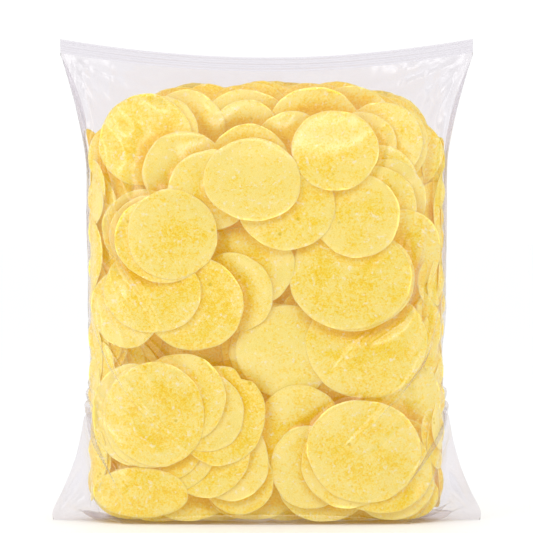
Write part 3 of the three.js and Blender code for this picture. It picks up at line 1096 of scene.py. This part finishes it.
    def draw_tight(self, coarse_passes: int, fine_passes: int) -> Array:
        """Drape the film: first on a coarse grid, then on one twice as fine.

        Each column of points keeps the length that it starts with, and a little ease.

        Args:
            coarse_passes: passes on the coarse grid.
            fine_passes: passes on the fine one.

        Returns:
            The film's points, by row and round the tube.
        """
        bare = -60.0
        self.solid_front = np.where(np.isfinite(self.heap.front), self.heap.front, bare)
        self.solid_back = np.where(np.isfinite(self.heap.back), -self.heap.back, bare)
        self.add_sides()
        self.reach = self.side_reach()
        tube = self.start(self.spacing)
        lengths = self.ease * np.linalg.norm(np.diff(tube, axis=0), axis=2).sum(axis=0)
        fine_lengths = np.stack([lengths, 0.5 * (lengths + np.roll(lengths, -1))], axis=1).ravel()
        log.info("film columns %.0f to %.0f mm long", lengths.min(), lengths.max())
        uneven = self.rng.normal(0.0, self.unevenness, tube.shape)
        uneven[[0, -1]] = 0.0
        tube = tube + uneven
        tube = self.settle(tube, lengths, coarse_passes)
        tube = self.settle(self.refine(tube), fine_lengths, fine_passes)
        return self.fan_folds(self.smooth_bare(tube))

    def fan_folds(self, tube: Array) -> Array:
        """Raise soft folds that fan out of the seal's ends and out of the tips of the ears.

        A fold's height is a bell curve in the angle round the corner that it starts from, times a
        rise and a fall with the distance from it. It stands outwards only. The fans on the right and
        on the back are turned a little, so that no two are alike.

        Args:
            tube: the film's points, which are moved.

        Returns:
            The same points.
        """
        turned = np.where(tube[..., 0] < 0.0, 0.0, 0.06) + np.where(self.outward < 0.0, 0.0, 0.04)
        for fan in CORNER_FANS:
            along = self.form.seal_half_width + fan.beyond - np.abs(tube[..., 0])
            up = np.abs(tube[..., 2] - fan.height)
            angle, distance = np.arctan2(up, along) + turned, np.hypot(along, up)
            fallen = smoothstep(0.4 * fan.fall, fan.fall, distance)
            reach = smoothstep(2.0, fan.rise, distance) * (1.0 - fallen)
            for at, width, height in fan.folds:
                tube[..., 1] += self.outward * height * np.exp(-((angle - at) / width) ** 2) * reach
        return tube

    def smooth_bare(self, tube: Array, passes: int = 24) -> Array:
        """Smooth the film where nothing is behind it: the ears, and the edges beside the heap.

        Args:
            tube: the settled points.
            passes: how often each point moves half way to the middle of its neighbours.

        Returns:
            The smoothed points.
        """
        body, ears = self.form.body_half_width, self.form.ear_height
        beyond = smoothstep(body + 0.5, body + 5.0, np.abs(tube[..., 0]))
        low = 1.0 - smoothstep(0.9 * ears, 1.3 * ears, tube[..., 2])
        share = 0.5 * (beyond * low)[..., None]
        share[[0, -1]] = 0.0
        edges = [0, tube.shape[1] // 2]
        for _ in range(passes):
            beside = 0.5 * (np.roll(tube, 1, axis=1) + np.roll(tube, -1, axis=1))
            beside[:, edges] = tube[:, edges]
            above = tube.copy()
            above[1:-1] = 0.5 * (tube[:-2] + tube[2:])
            tube = tube + share * (0.5 * (beside + above) - tube)
        return tube

    def envelope(self, tube: Array, builder: MeshBuilder) -> None:
        """Add the film as one closed surface: both walls share the points of the two seams.

        Args:
            tube: the settled points.
            builder: the mesh it goes into.
        """
        rows, ring, _ = tube.shape
        number = np.arange(rows * ring).reshape(rows, ring)
        behind = np.arange(ring // 2 + 1, ring)
        for seam in (0, rows - 1):
            number[seam, behind] = number[seam, ring - behind]
        used, number = np.unique(number, return_inverse=True)
        number = number.reshape(rows, ring)
        around = np.roll(number, -1, axis=1)
        faces = np.stack([number[:-1], around[:-1], around[1:], number[1:]], axis=-1).reshape(-1, 4)
        high, wide = self.flat_length / (rows - 1), self.flat_width / (ring / 2)
        across, along = np.meshgrid(np.arange(ring) * wide, np.arange(rows) * high)
        flat = np.stack([across, along, np.zeros_like(along)], axis=-1).reshape(-1, 3)[used]
        fold = np.zeros((rows, ring), int)
        pressed_flat = (tube[..., 2] < self.form.ear_height) | (tube[..., 2] > self.form.flare_start)
        for number_of_fold, edge in enumerate((0, ring // 2)):
            fold[:, edge] = np.where(pressed_flat[:, edge], 3 + number_of_fold, 0)
        fold[0], fold[-1] = 1, 2
        builder.add(tube.reshape(-1, 3)[used], faces, pattern=flat, fold=fold.reshape(-1)[used])


@dataclass(frozen=True)
class HeatSeal:
    """The band where both films are welded together: thin, with fine ridges along it."""

    form: BagForm
    ridges: int = 3
    ridge_height: float = 0.5
    thickness: float = 0.2
    ends_power: float = 0.3
    ridge_power: float = 0.6
    columns: int = 180
    rows: int = 44

    def add(self, foot: Array, builder: MeshBuilder) -> None:
        """Add the band as a closed strip that stands on the film's top seam.

        Args:
            foot: points of the seam from left to right.
            builder: the mesh it goes into.
        """
        share = np.linspace(0.0, 1.0, self.rows + 1)
        place, known = np.linspace(0.0, len(foot) - 1.0, self.columns + 1), np.arange(len(foot))
        base = np.stack([np.interp(place, known, values) for values in foot.T], axis=1)
        within = np.sin(math.pi * share) ** self.ends_power
        wave = np.sin(2.0 * math.pi * self.ridges * share)
        ridge = self.ridge_height * within * np.sign(wave) * np.abs(wave) ** self.ridge_power
        walls = []
        for side in (-1.0, 1.0):
            wall = np.repeat(base[None], self.rows + 1, axis=0)
            wall[..., 2] += (self.form.seal_depth * share)[:, None]
            wall[..., 1] += (ridge + side * 0.5 * self.thickness)[:, None]
            walls.append(wall)
        front, back = walls
        loop = np.concatenate([front, back[::-1]], axis=0)
        rows, columns = loop.shape[:2]
        number = np.arange(rows * columns).reshape(rows, columns)
        above = np.roll(number, -1, axis=0)
        sides = np.stack([number[:, :-1], number[:, 1:], above[:, 1:], above[:, :-1]], axis=-1)
        half = rows // 2
        near, far = number[:half], number[::-1][:half]
        left = np.stack([near[:-1, 0], near[1:, 0], far[1:, 0], far[:-1, 0]], axis=-1)
        right = np.stack([near[:-1, -1], far[:-1, -1], far[1:, -1], near[1:, -1]], axis=-1)
        faces = np.concatenate([sides.reshape(-1, 4), left, right])
        points = loop.reshape(-1, 3)
        builder.add(points, faces, pattern=points)


# Papads that show on the front, hindmost first: x, z, half width, half height in millimetres.
# One of them has a torn place in its rim, given as its angle and depth.
SHOWN_PAPADS: list[tuple[float, ...]] = [
    (-53.5, 253, 25.5, 23.5), (-13.5, 255, 28.5, 25.5), (79, 244, 25.5, 25.5), (75, 246, 25.5, 26.5),
    (31.5, 252, 31.5, 29.5), (-13.5, 246, 25.5, 26.5), (16.5, 238.5, 26.5, 27.5), (-51, 255, 24.5, 24.5),
    (-69.5, 253, 25.5, 23.5), (-78, 247, 30.5, 29.5), (-52, 226.5, 27.5, 26.5), (59.5, 242, 24.5, 23.5),
    (71.5, 219.5, 25.5, 24.5), (77, 208, 26.5, 26.5), (70.5, 205, 26.5, 24.5), (-11.5, 230.5, 26.5, 26.5),
    (-79, 189.5, 26.5, 26.5), (-77, 185.5, 24.5, 25.5), (-36, 215, 26.5, 26.5), (90, 176.5, 22.5, 26.5),
    (88, 126, 24.5, 28.5), (88, 81, 24.5, 28.5), (86, 40, 25.5, 28.5), (3, 113, 31.5, 29.5),
    (8, 112.5, 32, 28.5), (12.5, 111.5, 33, 29.5), (64.5, 116, 39, 35), (56.5, 158, 39, 33),
    (53.5, 159, 40, 33), (-13.5, 166, 31.5, 26.5), (58.5, 198, 27.5, 26.5), (12.5, 204, 31.5, 27.5),
    (44, 240.5, 28.5, 25.5), (-9, 221.5, 31.5, 26.5), (-90, 139.5, 23.5, 25.5),
    (-22.5, 148.5, 26.5, 26.5), (-46, 141.5, 32, 29.5), (-73.5, 150.5, 31.5, 27.5),
    (-66.5, 183.5, 30.5, 28.5), (-60.5, 186.5, 28.5, 29.5), (-88, 19, 23, 17.5), (-68, 16.5, 27, 15.5),
    (-29, 18, 28, 17), (15, 17.5, 28, 16.5), (60, 17.5, 29, 16.5), (88, 19, 23, 17.5),
    (-50, 23.5, 30, 21.5), (-8, 23, 31, 21), (38, 23.5, 30, 21.5), (82, 25, 26, 22.5),
    (20.5, 60.5, 28.5, 29.5), (28.5, 37, 26.5, 26.5),
    (75, 35, 31.5, 28.5), (53, 39, 30.5, 28.5), (-17.5, 29, 22.5, 22.5), (-24.5, 42, 26.5, 26.5),
    (-39, 46, 28.5, 28.5), (-60.5, 48.5, 27.5, 27.5), (-66.5, 54.5, 27.5, 26.5), (-81, 20.5, 30.5, 16.5),
    (62.5, 47.5, 37, 33), (-30.5, 70.5, 30.5, 31.5, 1, 0.12), (-39, 72, 24.5, 25.5),
    (-54.5, 82, 28.5, 28.5), (-85, 70.5, 27.5, 33), (-75, 69.5, 31.5, 33), (-71.5, 71, 32, 34),
]


def node(tree: bpy.types.NodeTree, kind: str, links: dict | None = None,
         **settings: object) -> bpy.types.Node:
    """Add a node, set it up and link its inputs.

    Args:
        tree: the material's node tree.
        kind: the node's type name.
        links: input name or number to a socket, or to a value that is set on the input.
        settings: properties of the node.

    Returns:
        The node.
    """
    made = tree.nodes.new(kind)
    for name, value in settings.items():
        setattr(made, name, value)
    for name, value in (links or {}).items():
        if isinstance(value, Socket):
            tree.links.new(value, made.inputs[name])
        else:
            made.inputs[name].default_value = value
    return made


@dataclass(frozen=True)
class DriedPapad:
    """Dried lentil dough, rolled thin: matt, lemon yellow, mottled, pale where it thins at the rim.

    Light that comes through from papad to papad keeps the shadows in the heap a deep yellow. Painted
    light stands in for it: a painted glow, an even emission that lifts every shadow, and painted shade,
    a deeper colour where a papad lies deep in the heap. The pale rim line is the thinner dough and a
    painted highlight of the light that the thin edge scatters.
    """

    # Also the colour that painted shade pulls a papad towards where it lies deep in the heap.
    deepest: str = "f0be08"
    deep: str = "fbcc1c"
    middle: str = "fdda40"
    pale: str = "fee98c"
    fleck: str = "fff5d8"
    spot: str = "d8b40c"
    # The rim line is the thinner dough and a painted highlight of light scattered by the thin edge.
    rim: str = "fff0b4"
    roughness: float = 0.5
    inner_scatter: float = 0.2
    # Painted glow: an even emission that lifts the shadows in the heap, though a papad is no lamp.
    painted_glow: str = "5e5500"

    def material(self) -> bpy.types.Material:
        """Build the finish.

        The mottling is the sum of blotches about 14 mm wide, mottles of 3 mm and a grain of 1.3 mm.
        The grain of the flour is finer than half a millimetre: it is drawn as coarse as that so
        that it shows. Over it lie pale floury flecks 3 mm wide, a green-brown speck for every 18 mm
        or so and the pale rim, 1 mm wide: the thinner dough there, and a painted highlight of the light
        that the thin edge scatters. Painted shade pulls the mottling towards the deepest colour where a
        papad lies deep in the heap, and a painted glow, an even emission, lifts the shadows.
        """
        made = bpy.data.materials.new("dried_papad")
        made.use_nodes = True
        tree = made.node_tree
        tree.nodes.clear()
        pattern = node(tree, "ShaderNodeAttribute", attribute_name="pattern").outputs["Vector"]
        to_rim = node(tree, "ShaderNodeAttribute", attribute_name="to_rim").outputs["Fac"]
        tone = node(tree, "ShaderNodeAttribute", attribute_name="tone").outputs["Fac"]
        # Painted shade: the depth share below deepens the colour where a papad lies deep in the heap.
        shade_depth = node(tree, "ShaderNodeAttribute", attribute_name="shade_depth").outputs["Fac"]

        def noise(scale: float, detail: float, roughness: float = 0.55, swirl: float = 0.0) -> Socket:
            """Noise over the papad, its scale in features to a millimetre, swirled into fibres."""
            made_noise = node(tree, "ShaderNodeTexNoise", {
                "Vector": pattern, "Scale": scale, "Detail": detail,
                "Roughness": roughness, "Distortion": swirl})
            return made_noise.outputs["Fac"]

        def added(value: Socket, factor: float, to: Socket | float) -> Socket:
            """Multiply a value by a factor and add it to another."""
            sum_of_both = node(tree, "ShaderNodeMath", {0: value, 1: factor, 2: to}, operation="MULTIPLY_ADD")
            return sum_of_both.outputs[0]

        def step(value: Socket, low: float, high: float, to: float = 1.0) -> Socket:
            """Smooth step of a value from 0 at low to the given height at high."""
            limits = {"Value": value, "From Min": low, "From Max": high, "To Max": to}
            ranged = node(tree, "ShaderNodeMapRange", limits, interpolation_type="SMOOTHSTEP")
            return ranged.outputs["Result"]

        def painted(over: Socket, share: Socket, code: str) -> Socket:
            """Paint a colour over another by a share."""
            mix = node(tree, "ShaderNodeMix", {0: share, 6: over, 7: from_hex(code)}, data_type="RGBA")
            return mix.outputs[2]

        blotch, mottle, grain = noise(0.07, 2.0), noise(0.36, 3.0, 0.6, 1.2), noise(0.75, 3.0, 0.7, 0.8)
        paler = step(to_rim, 20.0, 1.0, 0.07)
        # Tone and the paler rim are the papad's own colour; the depth share is painted shade.
        unevenness = added(shade_depth, -0.16, added(tone, 0.16, added(paler, 1.0, -0.525)))
        mottling = added(blotch, 0.45, added(mottle, 0.65, added(grain, 0.9, unevenness)))
        ramp = node(tree, "ShaderNodeValToRGB", {"Fac": mottling})
        stops = ramp.color_ramp.elements
        stops[0].position, stops[0].color = 0.23, from_hex(self.deepest)
        stops[1].position, stops[1].color = 0.66, from_hex(self.pale)
        stops.new(0.38).color = from_hex(self.deep)
        stops.new(0.5).color = from_hex(self.middle)
        flecked = painted(ramp.outputs["Color"], step(noise(0.3, 3.0, 0.7), 0.58, 0.69, 0.75), self.fleck)
        cells = node(tree, "ShaderNodeTexVoronoi", {"Vector": pattern, "Scale": 0.055})
        from_speck = cells.outputs["Distance"]
        specked = painted(flecked, step(from_speck, 0.085, 0.035, 0.7), self.spot)
        # Rim line, 1 mm wide: paler dough and a painted highlight.
        rim_highlighted = painted(specked, step(to_rim, 0.9, 0.1, 0.4), self.rim)
        pitted = added(from_speck, 0.9, added(grain, 0.35, mottle))
        bump = node(tree, "ShaderNodeBump", {"Height": pitted, "Strength": 0.5, "Distance": 0.0006})
        # The emission is the painted glow.
        shader = node(tree, "ShaderNodeBsdfPrincipled", {
            "Base Color": rim_highlighted, "Roughness": self.roughness, "Normal": bump.outputs["Normal"],
            "Subsurface Weight": self.inner_scatter, "Subsurface Radius": (0.003, 0.002, 0.0004),
            "Subsurface Scale": 1.0, "Specular IOR Level": 0.3,
            "Emission Color": from_hex(self.painted_glow), "Emission Strength": 1.0})
        made.cycles.emission_sampling = "NONE"
        node(tree, "ShaderNodeOutputMaterial", {"Surface": shader.outputs["BSDF"]})
        return made


@dataclass(frozen=True)
class PackingFilm:
    """Cast polypropylene film: clear, faintly grey, with a soft gloss that shows its creases."""

    tint: str = "f6f4f6"
    haze: str = "f3f0f2"
    roughness: float = 0.24

    def material(self) -> bpy.types.Material:
        """Build the finish: what is behind shows straight through, under a gloss and a faint haze.

        Layer Weight's facing value, to a power, gives the gloss and the milky look that a film has
        where it is seen at a low angle, at its creases and its edges. The bump is the film's own
        soft waves, about 20 mm long.
        """
        made = bpy.data.materials.new("packing_film")
        made.use_nodes = True
        tree = made.node_tree
        tree.nodes.clear()

        def share(power: float, most: float, least: float) -> Socket:
            """Rise from least, seen straight on, by most at a low angle."""
            risen = node(tree, "ShaderNodeMath", {0: facing, 1: power}, operation="POWER").outputs[0]
            scaled = node(tree, "ShaderNodeMath", {0: risen, 1: most, 2: least}, operation="MULTIPLY_ADD")
            return scaled.outputs[0]

        facing = node(tree, "ShaderNodeLayerWeight", {"Blend": 0.5}).outputs["Facing"]
        flat_film = node(tree, "ShaderNodeAttribute", attribute_name="pattern").outputs["Vector"]
        waves = node(tree, "ShaderNodeTexNoise", {
            "Vector": flat_film, "Scale": 0.05, "Detail": 1.5, "Roughness": 0.5})
        bump = node(tree, "ShaderNodeBump", {
            "Height": waves.outputs["Fac"], "Strength": 0.2, "Distance": 0.003})
        clear = node(tree, "ShaderNodeBsdfTransparent", {"Color": from_hex(self.tint)})
        milky = node(tree, "ShaderNodeBsdfDiffuse", {"Color": from_hex(self.haze)})
        film = node(tree, "ShaderNodeMixShader", {
            0: share(2.0, 0.32, 0.004), 1: clear.outputs["BSDF"], 2: milky.outputs["BSDF"]})
        gloss = node(tree, "ShaderNodeBsdfGlossy", {
            "Roughness": self.roughness, "Normal": bump.outputs["Normal"]})
        both = node(tree, "ShaderNodeMixShader", {
            0: share(3.0, 0.33, 0.06), 1: film.outputs["Shader"], 2: gloss.outputs["BSDF"]})
        node(tree, "ShaderNodeOutputMaterial", {"Surface": both.outputs["Shader"]})
        return made


@dataclass
class Studio:
    """A pale floor, white surroundings, soft lights and a long lens."""

    lens_distance: float = 2.40
    lens_angle: float = 8.258
    elevation: float = 1.2
    aim: tuple[float, float, float] = (0.0, 0.0, 0.1652)
    lit_place: tuple[float, float, float] = (0.0, 0.0, 0.16)
    floor_half_width: float = 12.0
    card_foot: float = 0.02
    card_spread: float = 0.84
    room_light: float = 1.05

    def camera(self) -> None:
        """Set the camera level with the bag, looking at its front a little from above."""
        data = bpy.data.cameras.new("camera")
        data.angle = math.radians(self.lens_angle)
        data.clip_end = 30.0
        camera = bpy.data.objects.new("camera", data)
        rise = math.radians(self.elevation)
        camera.location = (self.aim[0], self.aim[1] - self.lens_distance * math.cos(rise),
                           self.aim[2] + self.lens_distance * math.sin(rise))
        camera.rotation_euler = (math.radians(90.0) - rise, 0.0, 0.0)
        bpy.context.scene.collection.objects.link(camera)
        bpy.context.scene.camera = camera

    @staticmethod
    def board(name: str, corners: list[tuple[float, float, float]], code: str,
              roughness: float) -> bpy.types.Object:
        """Set up one flat painted board, which isn't part of the pack.

        Args:
            name: its name.
            corners: its four corners in metres.
            code: its colour.
            roughness: its roughness.

        Returns:
            The board, linked into the scene.
        """
        mesh = bpy.data.meshes.new(name)
        mesh.from_pydata(corners, [], [(0, 1, 2, 3)])
        material = bpy.data.materials.new(f"{name}_board")
        material.use_nodes = True
        shader = material.node_tree.nodes["Principled BSDF"]
        shader.inputs["Base Color"].default_value = from_hex(code)
        shader.inputs["Roughness"].default_value = roughness
        mesh.materials.append(material)
        board = bpy.data.objects.new(name, mesh)
        bpy.context.scene.collection.objects.link(board)
        return board

    def floor(self) -> None:
        """Lay the floor: a wide plane of matt white board."""
        half = self.floor_half_width
        self.board("floor", [(-half, -half, 0), (half, -half, 0), (half, half, 0), (-half, half, 0)],
                   "f9fafc", 0.6)

    def card(self, name: str, code: str, far: float, mirrored: bool) -> None:
        """Stand a wide card behind the camera.

        Args:
            name: its name.
            code: its colour.
            far: how far in front of the bag it stands, in metres.
            mirrored: whether only gloss sees it, or only matt surfaces, which it lights softly.
        """
        half, foot = self.card_spread * far, self.card_foot
        card = self.board(name, [(-half, -far, foot), (half, -far, foot), (half, -far, half),
                                 (-half, -far, half)], code, 0.9)
        card.visible_camera = card.visible_transmission = card.visible_shadow = False
        card.visible_glossy, card.visible_diffuse = mirrored, not mirrored

    def softbox(self, name: str, at: tuple[float, float, float], size: tuple[float, float],
                power: float) -> None:
        """Hang one soft light that faces the bag.

        Args:
            name: its name.
            at: where it hangs, in metres.
            size: its width and height in metres.
            power: its power in watts.
        """
        data = bpy.data.lights.new(name, "AREA")
        data.shape = "RECTANGLE"
        data.size, data.size_y = size
        data.energy = power
        light = bpy.data.objects.new(name, data)
        light.location = at
        towards = np.array(self.lit_place) - np.array(at)
        tilt = math.atan2(math.hypot(towards[0], towards[1]), -towards[2])
        turn = math.atan2(towards[1], towards[0]) - math.pi / 2
        light.rotation_euler = (tilt, 0.0, turn)
        bpy.context.scene.collection.objects.link(light)

    def build(self) -> None:
        """Set up the whole studio."""
        self.camera()
        self.floor()
        self.card("dark", "3c3a38", 3.1, mirrored=True)
        self.card("soft", "848484", 3.2, mirrored=False)
        world = bpy.data.worlds.new("white_room")
        world.use_nodes = True
        sky = world.node_tree.nodes["Background"]
        sky.inputs["Color"].default_value = (1.0, 1.0, 1.0, 1.0)
        sky.inputs["Strength"].default_value = self.room_light
        bpy.context.scene.world = world
        bpy.context.scene.view_settings.view_transform = "Standard"
        self.softbox("key", (-1.35, -1.45, 0.95), (0.4, 1.7), 9.5)
        self.softbox("front", (0.0, -1.9, 1.55), (1.1, 0.35), 8.0)
        self.softbox("fill", (1.4, -1.2, 0.95), (0.3, 1.7), 3.5)


def place_piece(piece: bpy.types.Object) -> None:
    """Fix a piece to the bag's body, in place of the frame's solid.

    Args:
        piece: the finished object.
    """
    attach(piece, "root")
    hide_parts("bag")
    log.info("%s: %d faces", piece.name, len(piece.data.polygons))


def main() -> None:
    """Build the pack in order: studio, heap, papads, film."""
    logging.basicConfig(level=logging.INFO, format="%(name)s: %(message)s")
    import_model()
    Studio().build()

    form = BagForm()
    rng = np.random.default_rng(SEED)
    maker = PapadMaker(rng)
    heap = Heap(form, rng)
    heap.keep_room_for(SHOWN_PAPADS)
    laid = heap.fill(maker) + heap.fill(maker, sizes=(19.0, 26.0), limit=120, least_room=1.6)
    laid += heap.cover_holes(maker)
    log.info("filled with %d papads", laid)
    for shown in SHOWN_PAPADS:
        x, z, half_width, half_height, *tear = shown
        heap.lay(maker.make(x, z, half_width, half_height, notch=tuple(tear) or None))
    heap.press_back()
    log.info("front reaches %.1f mm", float(np.max(heap.front)))

    finish = DriedPapad().material()
    groups = {
        "papads_back": (heap.papads[:laid // 2], PapadMesh(heap, around=32, rings=3)),
        "papads_middle": (heap.papads[laid // 2:laid], PapadMesh(heap, around=28, rings=3)),
        "papads_front": (heap.papads[laid:], PapadMesh(heap, around=56, rings=9)),
    }
    for name, (papads, mesh) in groups.items():
        builder = MeshBuilder(name)
        for number, papad in enumerate(papads):
            mesh.add(builder, papad, number)
        place_piece(builder.build(finish))
    sides = (SideWrap(form, rng, sign=-1.0), SideWrap(form, rng, sign=1.0))
    side_mesh = PapadMesh(heap, around=36, rings=6)
    builder = MeshBuilder("papads_side")
    first_number = 300
    for side in sides:
        side.stand(maker)
        for number, papad in enumerate(side.papads, first_number):
            side_mesh.add(builder, papad, number, side)
    place_piece(builder.build(finish))

    film = FilmTube(form, heap, sides, rng)
    coarse_passes, fine_passes = ((400, 120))
    tube = film.draw_tight(coarse_passes, fine_passes)
    clear = PackingFilm().material()
    walls = MeshBuilder("bag_film")
    film.envelope(tube, walls)
    place_piece(walls.build(clear))
    seal = MeshBuilder("top_seal")
    HeatSeal(form).add(tube[-1, :tube.shape[1] // 2 + 1], seal)
    place_piece(seal.build(PackingFilm(tint="f4f2f5", roughness=0.3).material()))


if __name__ == "__main__":
    main()
